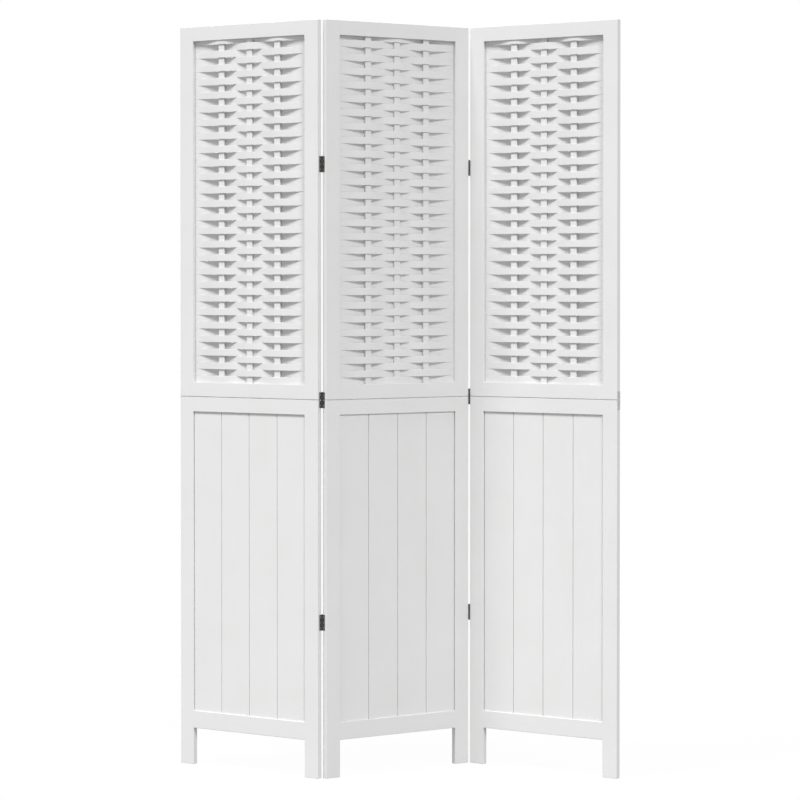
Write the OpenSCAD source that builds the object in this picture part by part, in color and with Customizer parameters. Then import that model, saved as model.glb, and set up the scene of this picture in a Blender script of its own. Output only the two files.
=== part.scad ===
// Folding room divider of three equal framed panels, standing in a zigzag.
// Each panel is a woven upper frame dowelled onto a lower frame filled with
// tongue-and-groove boards, whose stiles run on down as legs.
// Three butt hinges join each pair of panels: at the back on the left fold
// and at the front on the right one, so that the screen folds flat.
// X runs along the screen, -Y faces the front and Z is up. The origin is on
// the floor under the middle of the centre panel. Lengths are millimetres.

/* [Screen] */
// Height of the screen
panel_h = 1700; // [1600:10:1900]
// Width of one panel
panel_w = 400; // [360:5:480]
// Height of the seam between a panel's two frames
seam_z = 849; // [820:1:880]
// Thickness of the frames
frame_t = 13; // [13:0.5:20]
// Turn of every panel away from the line of the screen, in degrees
fold_angle = 36; // [5:1:60]

/* [Frames] */
// Width of the stiles
stile_w = 38; // [36:1:60]
// Height of the top rail and of the two rails at the middle
rail_h = 33.5; // [33.5:0.5:60]
// Height of the bottom rail
bottom_rail_h = 40; // [36:0.5:80]
// Clear height under the bottom rail
leg_clear = 84; // [40:1:160]

/* [Weave] */
// Height taken by each slat
slat_pitch = 15.5; // [12:0.1:24]
// Gap between one slat and the next
slat_gap = 0.4; // [0.3:0.1:2]
// Thickness of the slats
slat_t = 2; // [1:0.1:2.2]
// Width of the upright stakes
stake_w = 16; // [12:1:20]
// Thickness of the two outer stakes
stake_t = 6; // [4:0.5:6]
// Thickness of the middle stake
middle_stake_t = 4; // [3:0.5:6]

/* [Boards] */
// Number of boards in a panel
board_count = 4; // [3:1:6]
// Thickness of the boards
board_t = 4.5; // [4.5:0.1:5]
// Bevel on the boards' front edges
board_bevel = 1; // [0.5:0.1:1.4]
// Open gap between the boards' faces, down to the tongue
board_gap = 0.8; // [0.4:0.1:1.2]

/* [Hinges] */
// Height of a hinge
hinge_h = 35; // [32:1:50]
// Thickness of a leaf
leaf_t = 0.8; // [0.7:0.1:0.8]
// Radius of the knuckles
knuckle_r = 1.6; // [1.4:0.1:1.6]
// Radius of the hinge pin
pin_r = 0.8; // [0.6:0.1:0.9]
// Height of the lower hinge above the floor
low_hinge_z = 350; // [250:10:500]
// Height of the upper hinge above the floor
high_hinge_z = 1377; // [1200:1:1450]

/* [Hidden] */

$fn = 48;
eps = 0.1;
LEFT = -1;
RIGHT = 1;
FRONT = -1;
BACK = 1;

// Heights of the frames' parts
weave_z0 = seam_z + rail_h;
weave_z1 = panel_h - rail_h;
board_z0 = leg_clear + bottom_rail_h;
board_z1 = seam_z - rail_h;
opening_w = panel_w - 2 * stile_w;
inner_x = opening_w / 2;
groove_depth = 6;
seat_gap = 0.1;

// The weave: a mat of slats that pass in front of and behind three stakes,
// with their ends in a groove a little behind the middle of the stiles
mat_y = 0.5;
slat_end_y = 2.5;
slat_end_in = 5;
slat_end_reach = 0.88;
stake_step = opening_w / 4;
stake_xs = [-stake_step, 0, stake_step];
stake_ts = [stake_t, middle_stake_t, stake_t];
stake_in = 6;
slat_fit = 0.05;
slat_steps = 4;
slat_count = ceil((weave_z1 - weave_z0) / slat_pitch);
rest_half = stake_w / 2 + 1;

// The boards are set back a little from the front of the frame. Each has a
// tongue on its right edge, and the two outer ones a lip in the stile's groove.
board_front_y = -3.5;
board_in = 5;
board_step = opening_w / board_count;
tongue_t = 1.3;
tongue_l = 4;
tongue_front_y = board_front_y + 2.1;
lip_t = board_front_y + board_t - tongue_front_y;

// Dowels
dowel_r = 3;
dowel_l = 30;
dowel_pair = 7.5;
seam_dowel_r = 4;
seam_dowel_l = 60;
dowel_fit = 0.05;

// Hinges. The pivot stands off the face and off the edge of each panel.
pivot_out = 0.9;
pivot_off = 1.6;
pivot_x = panel_w / 2 + pivot_out;
pivot_y = frame_t / 2 + pivot_off;
leaf_reach = 9.2;
leaf_far = pivot_y - leaf_reach;
knuckle_middle = 12;
knuckle_gap = 0.25;
pin_fit = 0.05;
notch = knuckle_r + 0.35;
hinge_zs = [low_hinge_z, seam_z, high_hinge_z];

// Screws, all the same size. Those of the middle hinges leave their centre
// hole empty, because it lies over the seam of the two frames.
screw_l = 12;
screw_r = 1.2;
screw_head_r = 2.2;
screw_pitch = 12;
screw_fit = 0.05;
screw_y = (leaf_far + frame_t / 2) / 2 - 0.4;
recess_w = 0.5;
recess_l = 2.6;
recess_d = 0.6;

// Joining plates across the seam on the two outer edges
plate_h = 40;
plate_w = 10;
plate_t = 1.2;
plate_screw_zs = [-15, -6, 6, 15];

function hinge_screw_zs(i) = i == 1 ? [-screw_pitch, screw_pitch] : [-screw_pitch, 0, screw_pitch];

// Distances along the edge from the floor to the screws, for all three hinges
hinge_screws = [for (i = [0:2]) for (z = hinge_screw_zs(i)) hinge_zs[i] + z];
plate_screws = [for (z = plate_screw_zs) seam_z + z];

// Wave of one slat seen from above: the side of the mat it is on at each
// stake, and a smooth step from one stake to the next
function ease(u) = (u + (1 - cos(180 * u)) / 2) / 2;
function side_at(k, first) = (k % 2 == 0) ? first : -first;
function slat_bulge(k) = (stake_ts[k] + slat_t) / 2 + slat_fit;
function stake_y(k, first) = mat_y + side_at(k, first) * slat_bulge(k);

// Points along the middle of a slat, from the left end to the right end
function end_run(first, k, dir) = [
    for (i = [1:slat_steps])
        let (u = i / slat_steps)
        [
            dir * (stake_step + rest_half + u * (stake_step - rest_half)),
            stake_y(k, first) + (slat_end_y - stake_y(k, first)) * ease(min(u / slat_end_reach, 1))
        ]
];
function between(first, k) = [
    for (i = [1:slat_steps - 1])
        let (u = i / slat_steps)
        [
            stake_xs[k] + rest_half + u * (stake_step - 2 * rest_half),
            stake_y(k, first) + (stake_y(k + 1, first) - stake_y(k, first)) * ease(u)
        ]
];
function over_stake(first, k) = [
    [stake_xs[k] - rest_half, stake_y(k, first)],
    [stake_xs[k] + rest_half, stake_y(k, first)]
];
function reversed(list) = [for (i = [len(list) - 1:-1:0]) list[i]];
function slat_path(first) = concat(
    [[-inner_x - slat_end_in, slat_end_y]],
    reversed(end_run(first, 0, LEFT)),
    over_stake(first, 0),
    between(first, 0),
    over_stake(first, 1),
    between(first, 1),
    over_stake(first, 2),
    end_run(first, 2, RIGHT),
    [[inner_x + slat_end_in, slat_end_y]]
);
function shifted(list, dy) = [for (p = list) [p.x, p.y + dy]];

// ---- placing ----

// Puts a part drawn in a panel's own frame onto the left, centre or right panel
module on_left() {
    rotate(fold_angle)
        translate([-pivot_x, pivot_y, 0])
            rotate(-2 * fold_angle)
                translate([-pivot_x, -pivot_y, 0])
                    children();
}

module on_centre() {
    rotate(fold_angle)
        children();
}

module on_right() {
    rotate(fold_angle)
        translate([pivot_x, -pivot_y, 0])
            rotate(-2 * fold_angle)
                translate([pivot_x, pivot_y, 0])
                    children();
}

// Everything is drawn for the right-hand side of a panel, and mirrored for the left
module on_side(side) {
    mirror([side == LEFT ? 1 : 0, 0, 0])
        children();
}

// A cylinder that runs along -X from the panel's edge, or from any other x
module bar_inward(x, y, z, r, l) {
    translate([x, y, z])
        rotate([0, -90, 0])
            cylinder(r = r, h = l);
}

// ---- frames ----

// Heights of the two dowels at each end of a rail
function dowel_zs(z0, h) = [z0 + h / 2 - dowel_pair, z0 + h / 2 + dowel_pair];

module screw_holes(y, zs) {
    for (z = zs)
        bar_inward(panel_w / 2 + eps, y, z, screw_r + screw_fit, screw_l + 2 * eps);
}

module dowel_holes(zs) {
    for (z = zs)
        bar_inward(inner_x + dowel_l / 2 + seat_gap, 0, z, dowel_r + dowel_fit, dowel_l + 2 * seat_gap);
}

module seam_dowel_hole() {
    translate([inner_x + stile_w / 2, 0, seam_z - seam_dowel_l / 2 - seat_gap])
        cylinder(r = seam_dowel_r + dowel_fit, h = seam_dowel_l + 2 * seat_gap);
}

// Upright of the upper frame, with the groove for the ends of the slats
module upper_stile(side, screw_line, screws) {
    groove_t = slat_t + 2 * seat_gap;
    color("white")
        on_side(side)
            difference() {
                translate([inner_x, -frame_t / 2, seam_z])
                    cube([stile_w, frame_t, panel_h - seam_z]);
                translate([inner_x - eps, slat_end_y - groove_t / 2, weave_z0])
                    cube([groove_depth + eps, groove_t, weave_z1 - weave_z0]);
                dowel_holes(dowel_zs(seam_z, rail_h));
                dowel_holes(dowel_zs(weave_z1, rail_h));
                seam_dowel_hole();
                screw_holes(screw_line, [for (z = screws) if (z > seam_z) z]);
            }
}

// Upright of the lower frame, with the groove for the outer boards, down to the floor
module lower_stile(side, screw_line, screws) {
    color("white")
        on_side(side)
            difference() {
                translate([inner_x, -frame_t / 2, 0])
                    cube([stile_w, frame_t, seam_z]);
                translate([inner_x - eps, tongue_front_y - seat_gap, board_z0 - groove_depth])
                    cube([
                        groove_depth + eps,
                        lip_t + 2 * seat_gap,
                        board_z1 - board_z0 + 2 * groove_depth
                    ]);
                dowel_holes(dowel_zs(leg_clear, bottom_rail_h));
                dowel_holes(dowel_zs(board_z1, rail_h));
                seam_dowel_hole();
                screw_holes(screw_line, [for (z = screws) if (z < seam_z) z]);
            }
}

module rail_blank(z0, h) {
    difference() {
        translate([-inner_x, -frame_t / 2, z0])
            cube([opening_w, frame_t, h]);
        for (side = [LEFT, RIGHT])
            on_side(side)
                dowel_holes(dowel_zs(z0, h));
    }
}

module stake_mortises(z0, z1) {
    for (k = [0:2])
        translate([stake_xs[k] - stake_w / 2 - seat_gap, mat_y - stake_ts[k] / 2 - seat_gap, z0])
            cube([stake_w + 2 * seat_gap, stake_ts[k] + 2 * seat_gap, z1 - z0]);
}

// Top rail, with mortises for the stakes in its lower edge
module top_rail() {
    color("white")
        difference() {
            rail_blank(weave_z1, rail_h);
            stake_mortises(weave_z1 - eps, weave_z1 + stake_in + seat_gap);
        }
}

// Bottom rail of the upper frame, with mortises for the stakes in its upper edge
module weave_rail() {
    color("white")
        difference() {
            rail_blank(seam_z, rail_h);
            stake_mortises(weave_z0 - stake_in - seat_gap, weave_z0 + eps);
        }
}

module board_groove(z0, z1) {
    translate([-inner_x - eps, board_front_y - seat_gap, z0])
        cube([opening_w + 2 * eps, board_t + 2 * seat_gap, z1 - z0]);
}

// Top rail of the lower frame, grooved for the boards' upper ends
module board_rail() {
    color("white")
        difference() {
            rail_blank(board_z1, rail_h);
            board_groove(board_z1 - eps, board_z1 + groove_depth);
        }
}

// Bottom rail, grooved for the boards' lower ends
module bottom_rail() {
    color("white")
        difference() {
            rail_blank(leg_clear, bottom_rail_h);
            board_groove(board_z0 - groove_depth, board_z0 + eps);
        }
}

// ---- filling ----

module stakes() {
    color("whitesmoke")
        for (k = [0:2])
            translate([stake_xs[k] - stake_w / 2, mat_y - stake_ts[k] / 2, weave_z0 - stake_in])
                cube([stake_w, stake_ts[k], weave_z1 - weave_z0 + 2 * stake_in]);
}

// One slat: first is FRONT or BACK, the side it is on at the two outer stakes
module slat(first, z0, z1) {
    path = slat_path(first);
    translate([0, 0, z0])
        linear_extrude(height = z1 - z0)
            polygon(concat(shifted(path, -slat_t / 2), reversed(shifted(path, slat_t / 2))));
}

// The slats of one panel, the top one cut down to the height that is left.
// lowest is the side that the lowest slat is on at the outer stakes.
module slats(lowest) {
    color("white")
        for (j = [0:slat_count - 1]) {
            z0 = weave_z0 + j * slat_pitch + slat_gap / 2;
            z1 = min(z0 + slat_pitch, weave_z1) - slat_gap;
            slat(j % 2 == 0 ? lowest : -lowest, z0, z1);
        }
}

// Outline of one board from above: bevelled front corners, and a tongue or
// lip at one edge and a groove or lip at the other
module board_outline(i) {
    first = i == 0;
    last = i == board_count - 1;
    x0 = -inner_x + i * board_step + (first ? board_gap : board_gap / 2);
    x1 = -inner_x + (i + 1) * board_step - (last ? board_gap : board_gap / 2);
    y0 = board_front_y;
    y1 = board_front_y + board_t;
    difference() {
        union() {
            polygon([
                [x0 + board_bevel, y0],
                [x1 - board_bevel, y0],
                [x1, y0 + board_bevel],
                [x1, y1],
                [x0, y1],
                [x0, y0 + board_bevel]
            ]);
            if (first)
                translate([-inner_x - board_in, tongue_front_y])
                    square([board_in + board_gap + eps, lip_t]);
            translate([x1 - eps, tongue_front_y])
                square(last ? [board_in + board_gap + eps, lip_t] : [tongue_l + eps, tongue_t]);
        }
        if (!first)
            translate([x0 - eps, tongue_front_y - seat_gap])
                square([tongue_l - board_gap + 4 * seat_gap + eps, tongue_t + 2 * seat_gap]);
    }
}

module boards() {
    color("white")
        translate([0, 0, board_z0 - board_in])
            for (i = [0:board_count - 1])
                linear_extrude(height = board_z1 - board_z0 + 2 * board_in)
                    board_outline(i);
}

// ---- dowels and screws ----

// All the dowels of one panel: two at each end of each rail, and an upright
// one in each stile that joins the two frames
module dowels() {
    rail_dowels = concat(
        dowel_zs(leg_clear, bottom_rail_h),
        dowel_zs(board_z1, rail_h),
        dowel_zs(seam_z, rail_h),
        dowel_zs(weave_z1, rail_h)
    );
    color("burlywood")
        for (side = [LEFT, RIGHT])
            on_side(side) {
                for (z = rail_dowels)
                    bar_inward(inner_x + dowel_l / 2, 0, z, dowel_r, dowel_l);
                translate([inner_x + stile_w / 2, 0, seam_z - seam_dowel_l / 2])
                    cylinder(r = seam_dowel_r, h = seam_dowel_l);
            }
}

// A countersunk screw driven into the right-hand edge of a panel, through
// metal of thickness t, with a cross recess in its head
module screw(y, z, t) {
    head_x = panel_w / 2 + t - screw_fit;
    translate([head_x, y, z])
        difference() {
            rotate([0, -90, 0]) {
                cylinder(r1 = screw_head_r, r2 = screw_r, h = t - screw_fit);
                cylinder(r = screw_r, h = screw_l + t - screw_fit);
            }
            for (turn = [45, -45])
                rotate([turn, 0, 0])
                    translate([-recess_d, -recess_w / 2, -recess_l / 2])
                        cube([recess_d + eps, recess_w, recess_l]);
        }
}

// Screws of one panel: of its hinges on the edge hinge_side, at the panel's
// face that faces, and of its joining plate on the other edge
module hinge_screw_row(hinge_side, face) {
    on_side(hinge_side)
        for (z = hinge_screws)
            screw(face * screw_y, z, leaf_t);
}

module plate_screw_row(side) {
    on_side(side)
        for (z = plate_screws)
            screw(0, z, plate_t);
}

module screws(hinge_side, face, plate_side) {
    color("darkslategray")
        hinge_screw_row(hinge_side, face);
    color("lightgray")
        plate_screw_row(plate_side);
}

module centre_screw_rows() {
    color("darkslategray") {
        hinge_screw_row(LEFT, BACK);
        hinge_screw_row(RIGHT, FRONT);
    }
}

// Hole in a plate of thickness t on the panel's edge, for a countersunk screw
module countersink(y, z, t) {
    translate([panel_w / 2 + t, y, z])
        rotate([0, -90, 0]) {
            cylinder(r1 = screw_head_r + 2 * screw_fit, r2 = screw_r + 2 * screw_fit, h = t);
            translate([0, 0, -eps])
                cylinder(r = screw_r + 2 * screw_fit, h = t + 2 * eps);
        }
}

module joining_plate(side) {
    color("lightgray")
        on_side(side)
            difference() {
                translate([panel_w / 2, -plate_w / 2, seam_z - plate_h / 2])
                    cube([plate_t, plate_w, plate_h]);
                for (z = plate_screws)
                    countersink(0, z, plate_t);
            }
}

// ---- hinges ----

// Heights of the middle knuckle and of the two outer ones, from the hinge's middle
middle_knuckles = [[-knuckle_middle / 2, knuckle_middle / 2]];
outer_knuckles = [
    [-hinge_h / 2, -knuckle_middle / 2 - knuckle_gap],
    [knuckle_middle / 2 + knuckle_gap, hinge_h / 2]
];

// One leaf on the right-hand edge of a panel, drawn for a hinge at the back
// and mirrored for one at the front. own holds the heights of its knuckles
// and other those of the leaf it meshes with.
module leaf(side, face, i, own, other) {
    color("dimgray")
        on_side(side)
            mirror([0, face == FRONT ? 1 : 0, 0])
                translate([0, 0, hinge_zs[i]])
                    difference() {
                        union() {
                            translate([panel_w / 2, leaf_far, -hinge_h / 2])
                                cube([leaf_t, leaf_reach, hinge_h]);
                            for (k = own)
                                translate([pivot_x, pivot_y, k[0]])
                                    cylinder(r = knuckle_r, h = k[1] - k[0]);
                        }
                        for (k = own)
                            translate([pivot_x, pivot_y, k[0] - eps])
                                cylinder(r = pin_r + pin_fit, h = k[1] - k[0] + 2 * eps);
                        for (k = other)
                            translate([panel_w / 2 - eps, pivot_y - notch, k[0] - knuckle_gap])
                                cube([leaf_t + 2 * eps, notch + eps, k[1] - k[0] + 2 * knuckle_gap]);
                        for (z = [-screw_pitch, 0, screw_pitch])
                            countersink(screw_y, z, leaf_t);
                    }
}

// Hinge pin with a small flat cap at each end
module hinge_pin(side, face, i) {
    cap_r = 1.6;
    cap_t = 0.8;
    color("dimgray")
        translate([side * pivot_x, face * pivot_y, hinge_zs[i]]) {
            cylinder(r = pin_r, h = hinge_h, center = true);
            for (end = [0, 1])
                mirror([0, 0, end])
                    translate([0, 0, hinge_h / 2])
                        cylinder(r = cap_r, h = cap_t);
        }
}

// Leaf that turns with the left or right panel, and leaf fixed to the centre one
module turning_leaf(side, face, i) {
    leaf(side, face, i, middle_knuckles, outer_knuckles);
}

module fixed_leaf(side, face, i) {
    leaf(side, face, i, outer_knuckles, middle_knuckles);
}

// ---- left panel ----
on_left() upper_stile(LEFT, 0, plate_screws);  // left_upper_outer_stile
on_left() upper_stile(RIGHT, screw_y, hinge_screws);  // left_upper_hinge_stile
on_left() top_rail();  // left_top_rail
on_left() weave_rail();  // left_weave_rail
on_left() lower_stile(LEFT, 0, plate_screws);  // left_lower_outer_stile
on_left() lower_stile(RIGHT, screw_y, hinge_screws);  // left_lower_hinge_stile
on_left() board_rail();  // left_board_rail
on_left() bottom_rail();  // left_bottom_rail
on_left() stakes();  // left_stakes
on_left() slats(FRONT);  // left_slats
on_left() boards();  // left_boards
on_left() dowels();  // left_dowels
on_left() screws(RIGHT, BACK, LEFT);  // left_screws
on_left() joining_plate(LEFT);  // left_joining_plate

// ---- centre panel ----
on_centre() upper_stile(LEFT, screw_y, hinge_screws);  // centre_upper_left_stile
on_centre() upper_stile(RIGHT, -screw_y, hinge_screws);  // centre_upper_right_stile
on_centre() top_rail();  // centre_top_rail
on_centre() weave_rail();  // centre_weave_rail
on_centre() lower_stile(LEFT, screw_y, hinge_screws);  // centre_lower_left_stile
on_centre() lower_stile(RIGHT, -screw_y, hinge_screws);  // centre_lower_right_stile
on_centre() board_rail();  // centre_board_rail
on_centre() bottom_rail();  // centre_bottom_rail
on_centre() stakes();  // centre_stakes
on_centre() slats(BACK);  // centre_slats
on_centre() boards();  // centre_boards
on_centre() dowels();  // centre_dowels
on_centre() centre_screw_rows();  // centre_screws

// ---- right panel ----
on_right() upper_stile(LEFT, -screw_y, hinge_screws);  // right_upper_hinge_stile
on_right() upper_stile(RIGHT, 0, plate_screws);  // right_upper_outer_stile
on_right() top_rail();  // right_top_rail
on_right() weave_rail();  // right_weave_rail
on_right() lower_stile(LEFT, -screw_y, hinge_screws);  // right_lower_hinge_stile
on_right() lower_stile(RIGHT, 0, plate_screws);  // right_lower_outer_stile
on_right() board_rail();  // right_board_rail
on_right() bottom_rail();  // right_bottom_rail
on_right() stakes();  // right_stakes
on_right() slats(FRONT);  // right_slats
on_right() boards();  // right_boards
on_right() dowels();  // right_dowels
on_right() screws(LEFT, FRONT, RIGHT);  // right_screws
on_right() joining_plate(RIGHT);  // right_joining_plate

// ---- hinges of the left fold ----
on_left() turning_leaf(RIGHT, BACK, 0);  // left_fold_low_leaf
on_left() turning_leaf(RIGHT, BACK, 1);  // left_fold_middle_leaf
on_left() turning_leaf(RIGHT, BACK, 2);  // left_fold_high_leaf
on_centre() fixed_leaf(LEFT, BACK, 0);  // left_fold_low_centre_leaf
on_centre() fixed_leaf(LEFT, BACK, 1);  // left_fold_middle_centre_leaf
on_centre() fixed_leaf(LEFT, BACK, 2);  // left_fold_high_centre_leaf
on_centre() hinge_pin(LEFT, BACK, 0);  // left_fold_low_pin
on_centre() hinge_pin(LEFT, BACK, 1);  // left_fold_middle_pin
on_centre() hinge_pin(LEFT, BACK, 2);  // left_fold_high_pin

// ---- hinges of the right fold ----
on_right() turning_leaf(LEFT, FRONT, 0);  // right_fold_low_leaf
on_right() turning_leaf(LEFT, FRONT, 1);  // right_fold_middle_leaf
on_right() turning_leaf(LEFT, FRONT, 2);  // right_fold_high_leaf
on_centre() fixed_leaf(RIGHT, FRONT, 0);  // right_fold_low_centre_leaf
on_centre() fixed_leaf(RIGHT, FRONT, 1);  // right_fold_middle_centre_leaf
on_centre() fixed_leaf(RIGHT, FRONT, 2);  // right_fold_high_centre_leaf
on_centre() hinge_pin(RIGHT, FRONT, 0);  // right_fold_low_pin
on_centre() hinge_pin(RIGHT, FRONT, 1);  // right_fold_middle_pin
on_centre() hinge_pin(RIGHT, FRONT, 2);  // right_fold_high_pin
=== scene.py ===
import math
import random

import bmesh
import bpy
from mathutils import Matrix, Vector


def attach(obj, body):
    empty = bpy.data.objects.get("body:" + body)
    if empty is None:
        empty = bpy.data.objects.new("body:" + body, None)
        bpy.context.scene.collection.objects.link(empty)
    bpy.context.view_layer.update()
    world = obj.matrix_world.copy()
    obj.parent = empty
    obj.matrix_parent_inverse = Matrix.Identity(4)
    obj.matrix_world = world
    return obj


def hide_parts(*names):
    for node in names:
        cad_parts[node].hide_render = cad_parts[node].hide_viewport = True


# Folding room divider of three panels, painted white: woven slats above,
# tongue-and-groove boards below. Lengths are in metres, in the CAD frame. The
# wooden pieces are built here with rounded arrises, each from the box of its
# CAD node in its own panel's frame. The metal and the dowels are the CAD nodes
# themselves, with the sharp edges of the hinges and plates rounded.

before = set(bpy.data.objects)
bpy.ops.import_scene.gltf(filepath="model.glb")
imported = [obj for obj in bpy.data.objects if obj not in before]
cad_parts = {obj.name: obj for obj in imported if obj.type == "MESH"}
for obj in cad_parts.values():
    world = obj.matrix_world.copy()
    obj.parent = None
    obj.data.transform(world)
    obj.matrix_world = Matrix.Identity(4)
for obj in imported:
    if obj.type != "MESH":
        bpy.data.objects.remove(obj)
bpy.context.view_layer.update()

MM = 0.001
SEED = 4071

# ---- the three panels ----

FOLD_ANGLE = math.radians(36)
PIVOT_X = 200.9 * MM
PIVOT_Y = 8.1 * MM


def turn(angle):
    return Matrix.Rotation(angle, 4, "Z")


def shift(x, y):
    return Matrix.Translation((x, y, 0))


PANELS = {
    "left": turn(FOLD_ANGLE) @ shift(-PIVOT_X, PIVOT_Y) @ turn(-2 * FOLD_ANGLE) @ shift(-PIVOT_X, -PIVOT_Y),
    "centre": turn(FOLD_ANGLE),
    "right": turn(FOLD_ANGLE) @ shift(PIVOT_X, -PIVOT_Y) @ turn(-2 * FOLD_ANGLE) @ shift(PIVOT_X, PIVOT_Y),
}


def panel_box(panel, node):
    """Lowest and highest corner of a CAD node in its panel's own frame: X across, -Y to the front."""
    inverse = PANELS[panel].inverted()
    points = [inverse @ v.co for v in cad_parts[node].data.vertices]
    low = Vector([min(p[i] for p in points) for i in range(3)])
    high = Vector([max(p[i] for p in points) for i in range(3)])
    return low, high


# ---- materials ----

def node_material(name):
    material = bpy.data.materials.new(name)
    material.use_nodes = True
    nodes = material.node_tree.nodes
    return material, nodes, material.node_tree.links, nodes["Principled BSDF"]


def noise(nodes, links, scale, stretch=(1, 1, 1), detail=3.0, roughness=0.5, distortion=0.0):
    """Noise in object coordinates, stretched along an axis by a smaller scale on it."""
    coords = nodes.new("ShaderNodeTexCoord")
    mapping = nodes.new("ShaderNodeMapping")
    mapping.inputs["Scale"].default_value = stretch
    texture = nodes.new("ShaderNodeTexNoise")
    texture.inputs["Scale"].default_value = scale
    texture.inputs["Detail"].default_value = detail
    texture.inputs["Roughness"].default_value = roughness
    texture.inputs["Distortion"].default_value = distortion
    links.new(coords.outputs["Object"], mapping.inputs["Vector"])
    links.new(mapping.outputs["Vector"], texture.inputs["Vector"])
    return texture.outputs["Fac"]


def ramp(nodes, links, value, stops):
    """A colour ramp over value; stops are (position, colour)."""
    node = nodes.new("ShaderNodeValToRGB")
    elements = node.color_ramp.elements
    while len(elements) < len(stops):
        elements.new(0.5)
    for element, (position, colour) in zip(elements, stops):
        element.position = position
        element.color = (*colour, 1)
    links.new(value, node.inputs["Fac"])
    return node.outputs["Color"]


def remap(nodes, links, value, low, high):
    """A value from 0 to 1 spread from low to high."""
    node = nodes.new("ShaderNodeMapRange")
    node.inputs["To Min"].default_value = low
    node.inputs["To Max"].default_value = high
    links.new(value, node.inputs["Value"])
    return node.outputs["Result"]


def multiply(nodes, links, a, b, factor):
    """Colour a darkened by colour b, by a share of factor."""
    node = nodes.new("ShaderNodeMix")
    node.data_type = "RGBA"
    node.blend_type = "MULTIPLY"
    node.inputs["Factor"].default_value = factor
    links.new(a, node.inputs["A"])
    links.new(b, node.inputs["B"])
    return node.outputs["Result"]


def add_bump(nodes, links, height, strength, distance, normal=None):
    node = nodes.new("ShaderNodeBump")
    node.inputs["Strength"].default_value = strength
    node.inputs["Distance"].default_value = distance
    links.new(height, node.inputs["Height"])
    if normal is not None:
        links.new(normal, node.inputs["Normal"])
    return node.outputs["Normal"]


def grey(value, warmth=0.0):
    """A grey, or with some warmth one that is a little yellow."""
    return (value, value * (1 - warmth * 0.5), value * (1 - warmth))


PAINT_LEVEL = 0.62
GRAIN_STRETCH = 0.035


def paint(name, along, grain=0.35):
    """Satin white paint over wood whose grain runs along ACROSS or UPRIGHT in the panel."""
    material, nodes, links, shader = node_material(name)
    stretch = [1.0, 1.0, 1.0]
    stretch[along] = GRAIN_STRETCH
    cloudy = noise(nodes, links, 9.0, detail=4.0)
    dull, clean = grey(PAINT_LEVEL * 0.985, 0.006), grey(PAINT_LEVEL * 1.01)
    tone = ramp(nodes, links, cloudy, [(0.3, dull), (0.7, clean)])
    fibres = noise(nodes, links, 520.0, stretch, detail=5.0, roughness=0.62, distortion=0.4)
    fibre_tone = ramp(nodes, links, fibres, [(0.25, grey(0.972)), (0.6, grey(1.0))])
    colour = multiply(nodes, links, tone, fibre_tone, 0.6)
    links.new(colour, shader.inputs["Base Color"])
    links.new(remap(nodes, links, cloudy, 0.36, 0.5), shader.inputs["Roughness"])
    peel = noise(nodes, links, 1900.0, detail=2.0)
    rough = add_bump(nodes, links, fibres, grain, 0.16 * MM)
    links.new(add_bump(nodes, links, peel, 0.18, 0.05 * MM, rough), shader.inputs["Normal"])
    shader.inputs["Specular IOR Level"].default_value = 0.4
    return material


def bronze(name, dark, light, roughness):
    """Dark antiqued metal, rubbed a little lighter in patches."""
    material, nodes, links, shader = node_material(name)
    patches = noise(nodes, links, 160.0, detail=5.0, roughness=0.65)
    links.new(ramp(nodes, links, patches, [(0.38, dark), (0.72, light)]), shader.inputs["Base Color"])
    links.new(remap(nodes, links, patches, roughness + 0.1, roughness - 0.08), shader.inputs["Roughness"])
    fine = noise(nodes, links, 2600.0, detail=3.0)
    links.new(add_bump(nodes, links, fine, 0.3, 0.04 * MM), shader.inputs["Normal"])
    shader.inputs["Metallic"].default_value = 0.3
    return material


def zinc(name):
    """Bright zinc plate, drawn lengthwise."""
    material, nodes, links, shader = node_material(name)
    lines = noise(nodes, links, 1400.0, (1, 1, 0.02), detail=3.0)
    spangle = noise(nodes, links, 210.0, detail=2.0)
    tone = ramp(nodes, links, spangle, [(0.35, (0.44, 0.445, 0.45)), (0.65, (0.54, 0.545, 0.55))])
    links.new(tone, shader.inputs["Base Color"])
    links.new(remap(nodes, links, lines, 0.28, 0.46), shader.inputs["Roughness"])
    links.new(add_bump(nodes, links, lines, 0.2, 0.03 * MM), shader.inputs["Normal"])
    shader.inputs["Metallic"].default_value = 0.25
    return material


def bare_wood(name):
    """Turned beech, as on the dowels inside the joints."""
    material, nodes, links, shader = node_material(name)
    rings = noise(nodes, links, 420.0, (0.1, 0.1, 1.0), detail=5.0, distortion=0.6)
    tone = ramp(nodes, links, rings, [(0.3, (0.52, 0.34, 0.18)), (0.7, (0.68, 0.48, 0.28))])
    links.new(tone, shader.inputs["Base Color"])
    links.new(add_bump(nodes, links, rings, 0.3, 0.1 * MM), shader.inputs["Normal"])
    shader.inputs["Roughness"].default_value = 0.62
    return material


ACROSS, UPRIGHT = 0, 2
PAINT_UPRIGHT = paint("satin_paint_upright", UPRIGHT)
PAINT_RAIL = paint("satin_paint_rail", ACROSS)
PAINT_BOARD = paint("satin_paint_board", UPRIGHT, grain=0.25)
PAINT_SLAT = paint("satin_paint_slat", ACROSS, grain=0.3)
PAINT_STAKE = paint("satin_paint_stake", UPRIGHT, grain=0.4)
HINGE_METAL = bronze("antique_bronze", (0.055, 0.053, 0.050), (0.110, 0.105, 0.100), 0.45)
SCREW_METAL = bronze("bronzed_screw", (0.18, 0.172, 0.165), (0.32, 0.31, 0.295), 0.4)
ZINC = zinc("zinc_plate")
DOWEL_WOOD = bare_wood("beech_dowel")

# ---- building ----

CORNER_STEPS = 3
HAIRLINE = 0.15 * MM


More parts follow.
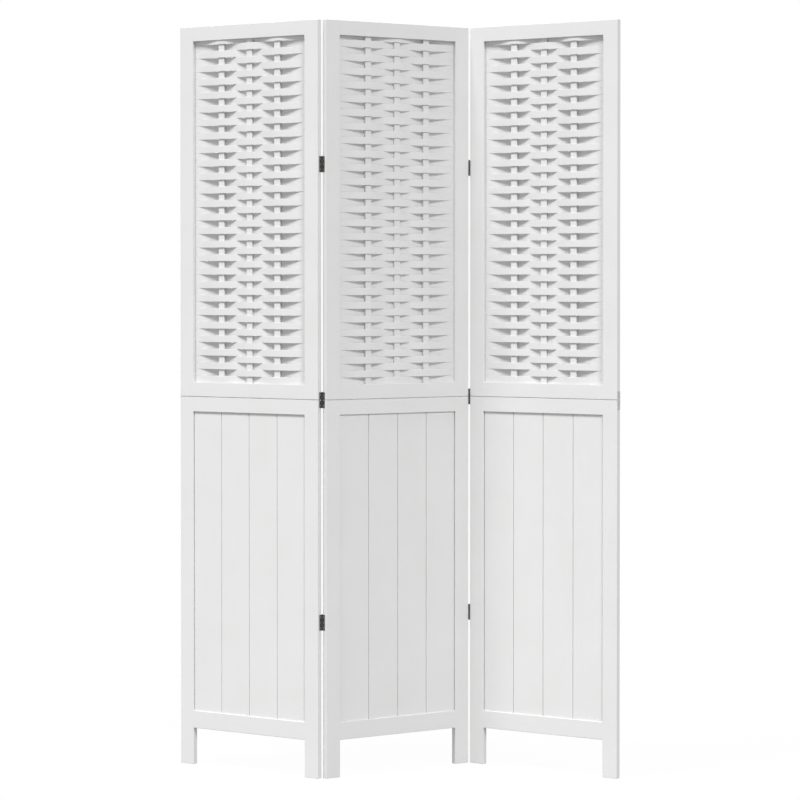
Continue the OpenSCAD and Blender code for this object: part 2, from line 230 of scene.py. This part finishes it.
def rounded_section(low, high, radii):
    """Outline of a rectangle from corner low to corner high, with a radius at each corner, anticlockwise."""
    (a0, b0), (a1, b1) = low, high
    corners = [(a0, b0, 1, 1, 180), (a1, b0, -1, 1, 270), (a1, b1, -1, -1, 0), (a0, b1, 1, -1, 90)]
    points = []
    for (a, b, da, db, start), radius in zip(corners, radii):
        for step in range(CORNER_STEPS + 1):
            angle = math.radians(start + 90 * step / CORNER_STEPS)
            points.append((
                a + da * radius + radius * math.cos(angle),
                b + db * radius + radius * math.sin(angle),
            ))
    return points


def inset_section(low, high, radii, inset):
    """The same outline drawn in by inset on every side."""
    smaller = [max(radius - inset, 0.05 * MM) for radius in radii]
    return rounded_section((low[0] + inset, low[1] + inset), (high[0] - inset, high[1] - inset), smaller)


def loft(bm, rings):
    """A closed solid through rings of points, all with the same number of them."""
    loops = [[bm.verts.new(p) for p in ring] for ring in rings]
    count = len(loops[0])
    for lower, upper in zip(loops, loops[1:]):
        for i in range(count):
            j = (i + 1) % count
            bm.faces.new((lower[i], lower[j], upper[j], upper[i]))
    bm.faces.new(list(reversed(loops[0])))
    bm.faces.new(loops[-1])


def rounded_ends(start, end, radius):
    """Places along a bar, with the inset of its outline at each, for ends rounded to radius."""
    steps = [math.radians(90 * i / CORNER_STEPS) for i in range(CORNER_STEPS + 1)]
    curve = [(radius - radius * math.sin(a), radius * (1 - math.cos(a))) for a in steps]
    first = [(start + along, inset) for along, inset in reversed(curve)]
    last = [(end - along, inset) for along, inset in curve]
    return first, last


def place(bm, name, panel, node, material, smooth_angle=40):
    """Makes the piece that stands for a CAD node, drawn in its panel's frame, and puts it on the panel."""
    bmesh.ops.recalc_face_normals(bm, faces=bm.faces)
    mesh = bpy.data.meshes.new(name)
    bm.to_mesh(mesh)
    bm.free()
    for polygon in mesh.polygons:
        polygon.use_smooth = True
    mesh.set_sharp_from_angle(angle=math.radians(smooth_angle))
    mesh.materials.append(material)
    piece = bpy.data.objects.new(name, mesh)
    piece.matrix_world = PANELS[panel]
    bpy.context.scene.collection.objects.link(piece)
    weighted = piece.modifiers.new("weighted_normals", "WEIGHTED_NORMAL")
    weighted.keep_sharp = True
    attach(piece, panel + "_panel")
    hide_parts(node)
    return piece


# ---- stiles and rails ----

# SHARP_ARRIS is for the ledges under the weave and the boards and the edge over the boards.
OUTER_ARRIS = 0.8 * MM
OPENING_ARRIS = 1.1 * MM
SHARP_ARRIS = 0.4 * MM
SEAM_ARRIS_ABOVE = 1.9 * MM
SEAM_ARRIS_BELOW = 0.5 * MM
SEAM_GAP = 0.5 * MM
ARRIS_RUNOUT = 4 * MM
SEAM_Z = 849 * MM


def off_seam(low, high):
    """The same box, drawn back from the seam between the upper and the lower frame."""
    if abs(low.z - SEAM_Z) < MM:
        low.z += SEAM_GAP / 2
    if abs(high.z - SEAM_Z) < MM:
        high.z -= SEAM_GAP / 2
    return low, high


def stile(panel, node, inner_side, shoulders, low_arris, high_arris):
    """An upright. inner_side is -1 or 1, the side that the rails are on, and
    shoulders are the stretches where a rail meets it and its arris is left sharp."""
    low, high = off_seam(*panel_box(panel, node))
    stations, last = rounded_ends(low.z, high.z, low_arris)[0], rounded_ends(low.z, high.z, high_arris)[1]
    for start, end in shoulders:
        for z in (start - ARRIS_RUNOUT, start, end, end + ARRIS_RUNOUT):
            if low.z + 2 * low_arris < z < high.z - 2 * high_arris:
                stations.append((z, 0.0))
    stations += last
    bm = bmesh.new()
    rings = []
    for z, inset in sorted(stations, key=lambda s: s[0]):
        at_rail = any(start - HAIRLINE <= z <= end + HAIRLINE for start, end in shoulders)
        inner = HAIRLINE if at_rail else OPENING_ARRIS
        left, right = (inner, OUTER_ARRIS) if inner_side < 0 else (OUTER_ARRIS, inner)
        outline = inset_section((low.x, low.y), (high.x, high.y), (left, right, right, left), inset)
        rings.append([(x, y, z) for x, y in outline])
    loft(bm, rings)
    place(bm, node + "_painted", panel, node, PAINT_UPRIGHT)


def rail(panel, node, low_arris, high_arris):
    """A cross rail between the stiles, with its own arris along the lower and the upper edge."""
    low, high = off_seam(*panel_box(panel, node))
    first, last = rounded_ends(low.x, high.x, HAIRLINE)
    bm = bmesh.new()
    rings = []
    for x, inset in first + last:
        radii = (low_arris, low_arris, high_arris, high_arris)
        outline = inset_section((low.y, low.z), (high.y, high.z), radii, inset)
        rings.append([(x, y, z) for y, z in outline])
    loft(bm, rings)
    place(bm, node + "_painted", panel, node, PAINT_RAIL)


# ---- weave ----

STAKE_ARRIS = 0.5 * MM
SLAT_ARRIS = 0.4 * MM
SLAT_GAP = 0.06 * MM
SLAT_STEP = 4 * MM
SLAT_DRIFT = 1.3 * MM
SLAT_PLAY = (0.05, 0.18)
STAKE_APART = 30 * MM
STAKE_REST = 9 * MM
SLAT_END_Y = 2.5 * MM
SLAT_END_REACH = 0.88
SLAT_END_IN = 5 * MM
SLAT_PITCH = 15.5 * MM
SLAT_T = 2 * MM


def ease(u):
    """From 0 to 1, half straight and half an S-curve, as a springy slat lies."""
    u = min(max(u, 0.0), 1.0)
    return (u + (1 - math.cos(math.pi * u)) / 2) / 2


def stake_boxes(panel):
    """(lowest corner, highest corner) of each stake, from left to right."""
    inverse = PANELS[panel].inverted()
    points = [inverse @ v.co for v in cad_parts[panel + "_stakes"].data.vertices]
    points.sort(key=lambda p: p.x)
    groups = [[points[0]]]
    for p in points[1:]:
        if p.x - groups[-1][0].x > STAKE_APART:
            groups.append([])
        groups[-1].append(p)
    return [
        (Vector([min(p[i] for p in g) for i in range(3)]), Vector([max(p[i] for p in g) for i in range(3)]))
        for g in groups
    ]


def stakes(panel):
    bm = bmesh.new()
    for low, high in stake_boxes(panel):
        first, last = rounded_ends(low.z, high.z, STAKE_ARRIS)
        rings = []
        for z, inset in first + last:
            outline = inset_section((low.x, low.y), (high.x, high.y), [STAKE_ARRIS] * 4, inset)
            rings.append([(x, y, z) for x, y in outline])
        loft(bm, rings)
    place(bm, panel + "_stakes_planed", panel, panel + "_stakes", PAINT_STAKE)


def slats(panel, lowest_side, rng):
    """The slats of one panel. lowest_side is -1 if the lowest one passes in front of the outer stakes."""
    boxes = stake_boxes(panel)
    centres = [(low.x + high.x) / 2 for low, high in boxes]
    middles = [(low.y + high.y) / 2 for low, high in boxes]
    halves = [(high.y - low.y) / 2 for low, high in boxes]
    low, high = panel_box(panel, panel + "_slats")
    inner = high.x - SLAT_END_IN
    bottom = panel_box(panel, panel + "_weave_rail")[1].z
    top = panel_box(panel, panel + "_top_rail")[0].z
    count = math.ceil((top - bottom) / SLAT_PITCH)
    stations = round((high.x - low.x) / SLAT_STEP)
    bm = bmesh.new()
    for j in range(count):
        side = lowest_side if j % 2 == 0 else -lowest_side
        ys = []
        for k in range(3):
            stand_off = halves[k] + SLAT_T / 2 + rng.uniform(*SLAT_PLAY) * MM
            ys.append(middles[k] + (side if k % 2 == 0 else -side) * stand_off)
        drift = rng.uniform(-SLAT_DRIFT, SLAT_DRIFT)
        z0 = bottom + j * SLAT_PITCH + SLAT_GAP / 2
        z1 = min(bottom + (j + 1) * SLAT_PITCH, top) - SLAT_GAP / 2
        rings = []
        for i in range(stations + 1):
            x = low.x + (high.x - low.x) * i / stations
            at = x + drift * math.cos(math.pi * x / (2 * inner)) if abs(x) < inner else x
            if at < centres[0] - STAKE_REST:
                u = (centres[0] - STAKE_REST - at) / (inner + centres[0] - STAKE_REST)
                y = ys[0] + (SLAT_END_Y - ys[0]) * ease(u / SLAT_END_REACH)
            elif at > centres[2] + STAKE_REST:
                u = (at - centres[2] - STAKE_REST) / (inner - centres[2] - STAKE_REST)
                y = ys[2] + (SLAT_END_Y - ys[2]) * ease(u / SLAT_END_REACH)
            else:
                k = 0 if at < centres[1] else 1
                u = (at - centres[k] - STAKE_REST) / (centres[k + 1] - centres[k] - 2 * STAKE_REST)
                y = ys[k] + (ys[k + 1] - ys[k]) * ease(u)
            outline = rounded_section((y - SLAT_T / 2, z0), (y + SLAT_T / 2, z1), [SLAT_ARRIS] * 4)
            rings.append([(x, b, c) for b, c in outline])
        loft(bm, rings)
    place(bm, panel + "_slats_woven", panel, panel + "_slats", PAINT_SLAT, smooth_angle=60)


# ---- boards ----

BOARD_COUNT = 4
BOARD_BEVEL = 1.0 * MM
BOARD_GAP = 0.8 * MM
BOARD_LIP = 5 * MM
TONGUE_FRONT = 2.1 * MM
TONGUE_T = 1.3 * MM
TONGUE_L = 4 * MM
TONGUE_FIT = 0.1 * MM


def board_outline(low, high, i):
    """Outline of one board from above, anticlockwise from its front left, with softened bevels."""
    first, last = i == 0, i == BOARD_COUNT - 1
    inner_low, inner_high = low.x + BOARD_LIP, high.x - BOARD_LIP
    step = (inner_high - inner_low) / BOARD_COUNT
    x0 = inner_low + i * step + (BOARD_GAP if first else BOARD_GAP / 2)
    x1 = inner_low + (i + 1) * step - (BOARD_GAP if last else BOARD_GAP / 2)
    y0, y1 = low.y, high.y
    soft = 0.3 * BOARD_BEVEL
    right_front = [
        (x1 - BOARD_BEVEL - soft, y0),
        (x1 - BOARD_BEVEL + soft * 0.5, y0 + soft * 0.3),
        (x1 - soft * 0.3, y0 + BOARD_BEVEL - soft * 0.5),
        (x1, y0 + BOARD_BEVEL + soft),
    ]
    left_front = [(x0 + x1 - x, y) for x, y in reversed(right_front)]
    tongue = y0 + TONGUE_FRONT
    if last:
        right_edge = [(x1, tongue), (high.x, tongue), (high.x, y1)]
    else:
        right_edge = [
            (x1, tongue),
            (x1 + TONGUE_L, tongue),
            (x1 + TONGUE_L, tongue + TONGUE_T),
            (x1, tongue + TONGUE_T),
            (x1, y1),
        ]
    if first:
        left_edge = [(low.x, y1), (low.x, tongue), (x0, tongue)]
    else:
        depth = TONGUE_L - BOARD_GAP + 4 * TONGUE_FIT
        left_edge = [
            (x0, y1),
            (x0, tongue + TONGUE_T + TONGUE_FIT),
            (x0 + depth, tongue + TONGUE_T + TONGUE_FIT),
            (x0 + depth, tongue - TONGUE_FIT),
            (x0, tongue - TONGUE_FIT),
        ]
    return left_front + right_front + right_edge + left_edge


def boards(panel):
    low, high = panel_box(panel, panel + "_boards")
    bm = bmesh.new()
    for i in range(BOARD_COUNT):
        outline = board_outline(low, high, i)
        loft(bm, [[(x, y, z) for x, y in outline] for z in (low.z, high.z)])
    place(bm, panel + "_boards_beaded", panel, panel + "_boards", PAINT_BOARD, smooth_angle=50)


# ---- the panels' woodwork ----

rng = random.Random(SEED)
STILES = {"left": ("outer", "hinge"), "centre": ("left", "right"), "right": ("hinge", "outer")}
LOWEST_SLAT = {"left": -1, "centre": 1, "right": -1}

for panel, (left_name, right_name) in STILES.items():
    rails = {
        name: panel_box(panel, f"{panel}_{name}")
        for name in ("top_rail", "weave_rail", "board_rail", "bottom_rail")
    }
    upper = [(rails[n][0].z, rails[n][1].z) for n in ("weave_rail", "top_rail")]
    lower = [(rails[n][0].z, rails[n][1].z) for n in ("bottom_rail", "board_rail")]
    for name, inner_side in ((left_name, 1), (right_name, -1)):
        stile(panel, f"{panel}_upper_{name}_stile", inner_side, upper, SEAM_ARRIS_ABOVE, OUTER_ARRIS)
        stile(panel, f"{panel}_lower_{name}_stile", inner_side, lower, OUTER_ARRIS, SEAM_ARRIS_BELOW)
    rail(panel, f"{panel}_top_rail", OPENING_ARRIS, OUTER_ARRIS)
    rail(panel, f"{panel}_weave_rail", SEAM_ARRIS_ABOVE, SHARP_ARRIS)
    rail(panel, f"{panel}_board_rail", SHARP_ARRIS, SEAM_ARRIS_BELOW)
    rail(panel, f"{panel}_bottom_rail", OPENING_ARRIS, SHARP_ARRIS)
    stakes(panel)
    slats(panel, LOWEST_SLAT[panel], rng)
    boards(panel)

# ---- metal and dowels, on their CAD nodes ----

METAL_ARRIS = 0.15 * MM
PLATE_SCREWS_FROM = 100 * MM


def finish_node(name, material, arris=0.0):
    """Gives a CAD node its material, and rounds its sharp edges if arris is set."""
    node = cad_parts[name]
    node.data.materials.clear()
    node.data.materials.append(material)
    if arris:
        weld = node.modifiers.new("weld", "WELD")
        weld.merge_threshold = 0.002 * MM
        bevel = node.modifiers.new("arris", "BEVEL")
        bevel.width = arris
        bevel.segments = 2
        bevel.limit_method = "ANGLE"
        bevel.angle_limit = math.radians(40)
        weighted = node.modifiers.new("weighted_normals", "WEIGHTED_NORMAL")
        weighted.keep_sharp = True


def split_screws(panel, plate_side):
    """Plate screws on the panel's outer edge are zinc, the hinge screws bronze."""
    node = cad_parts[panel + "_screws"]
    node.data.materials.append(ZINC)
    inverse = PANELS[panel].inverted()
    for polygon in node.data.polygons:
        x = (inverse @ polygon.center).x
        polygon.material_index = 1 if x * plate_side > PLATE_SCREWS_FROM else 0


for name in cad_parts:
    if name.endswith("_dowels"):
        finish_node(name, DOWEL_WOOD)
    elif name.endswith("_screws"):
        finish_node(name, SCREW_METAL)
    elif name.endswith("_plate"):
        finish_node(name, ZINC, METAL_ARRIS)
    elif "_fold_" in name:
        finish_node(name, HINGE_METAL, METAL_ARRIS)
split_screws("left", -1)
split_screws("right", 1)

# ---- floor, light and camera ----

FLOOR_HALF = 30.0
LIGHT_SOFTNESS = math.radians(16)
LIGHT_DISTANCE = 5
FILL = 0.58
FLOOR_GLOW = 0.975
WHITE = (1, 1, 1, 1)


def floor():
    """A white floor that glows by itself, with a dark base, so that next to no shadow shows on it."""
    bm = bmesh.new()
    corners = [(-1, -1), (1, -1), (1, 1), (-1, 1)]
    bm.faces.new([bm.verts.new((FLOOR_HALF * x, FLOOR_HALF * y, 0)) for x, y in corners])
    mesh = bpy.data.meshes.new("studio_floor")
    bm.to_mesh(mesh)
    bm.free()
    material, nodes, links, shader = node_material("studio_floor")
    speckle = noise(nodes, links, 3.0, detail=2.0)
    tone = ramp(nodes, links, speckle, [(0.3, grey(0.010)), (0.7, grey(0.012))])
    links.new(tone, shader.inputs["Base Color"])
    shader.inputs["Roughness"].default_value = 0.9
    shader.inputs["Specular IOR Level"].default_value = 0.0
    shader.inputs["Emission Color"].default_value = WHITE
    shader.inputs["Emission Strength"].default_value = FLOOR_GLOW
    mesh.materials.append(material)
    piece = bpy.data.objects.new("studio_floor", mesh)
    bpy.context.scene.collection.objects.link(piece)
    piece.visible_diffuse = False
    piece.visible_glossy = False


def soft_light(name, left, up, strength):
    """A large, far softbox, up from the floor and to the left of the front by an angle each."""
    data = bpy.data.lights.new(name, "SUN")
    data.energy = strength
    data.angle = LIGHT_SOFTNESS
    lamp = bpy.data.objects.new(name, data)
    towards = Vector((
        -math.sin(left) * math.cos(up),
        -math.cos(left) * math.cos(up),
        math.sin(up),
    ))
    lamp.rotation_mode = "QUATERNION"
    lamp.rotation_quaternion = towards.to_track_quat("Z", "Y")
    lamp.location = towards * LIGHT_DISTANCE
    bpy.context.scene.collection.objects.link(lamp)


def studio_world():
    """An even white surround: dimmer as light on the object than as the backdrop that is seen."""
    world = bpy.data.worlds.new("studio")
    world.use_nodes = True
    nodes, links = world.node_tree.nodes, world.node_tree.links
    nodes.clear()
    seen = nodes.new("ShaderNodeBackground")
    seen.inputs["Strength"].default_value = 1.0
    seen.inputs["Color"].default_value = WHITE
    fill = nodes.new("ShaderNodeBackground")
    fill.inputs["Strength"].default_value = FILL
    fill.inputs["Color"].default_value = WHITE
    path = nodes.new("ShaderNodeLightPath")
    mix = nodes.new("ShaderNodeMixShader")
    output = nodes.new("ShaderNodeOutputWorld")
    links.new(path.outputs["Is Camera Ray"], mix.inputs["Fac"])
    links.new(fill.outputs["Background"], mix.inputs[1])
    links.new(seen.outputs["Background"], mix.inputs[2])
    links.new(mix.outputs["Shader"], output.inputs["Surface"])
    bpy.context.scene.world = world


def camera():
    """Seven metres in front of the screen at about chest height, almost level."""
    data = bpy.data.cameras.new("camera")
    data.lens = 138.33
    data.sensor_width = 36
    data.shift_y = -0.075
    rig = bpy.data.objects.new("camera", data)
    rig.location = (0.0072, -6.9935, 1.1087)
    rig.rotation_euler = (math.radians(90 - 1.0415), 0, 0)
    bpy.context.scene.collection.objects.link(rig)
    bpy.context.scene.camera = rig


floor()
soft_light("left_light", math.radians(55), math.radians(62), 3.6)
soft_light("right_light", math.radians(-27), math.radians(45), 2.22)
soft_light("back_light", math.radians(160), math.radians(35), 1.4)
studio_world()
camera()
bpy.context.scene.view_settings.view_transform = "Standard"
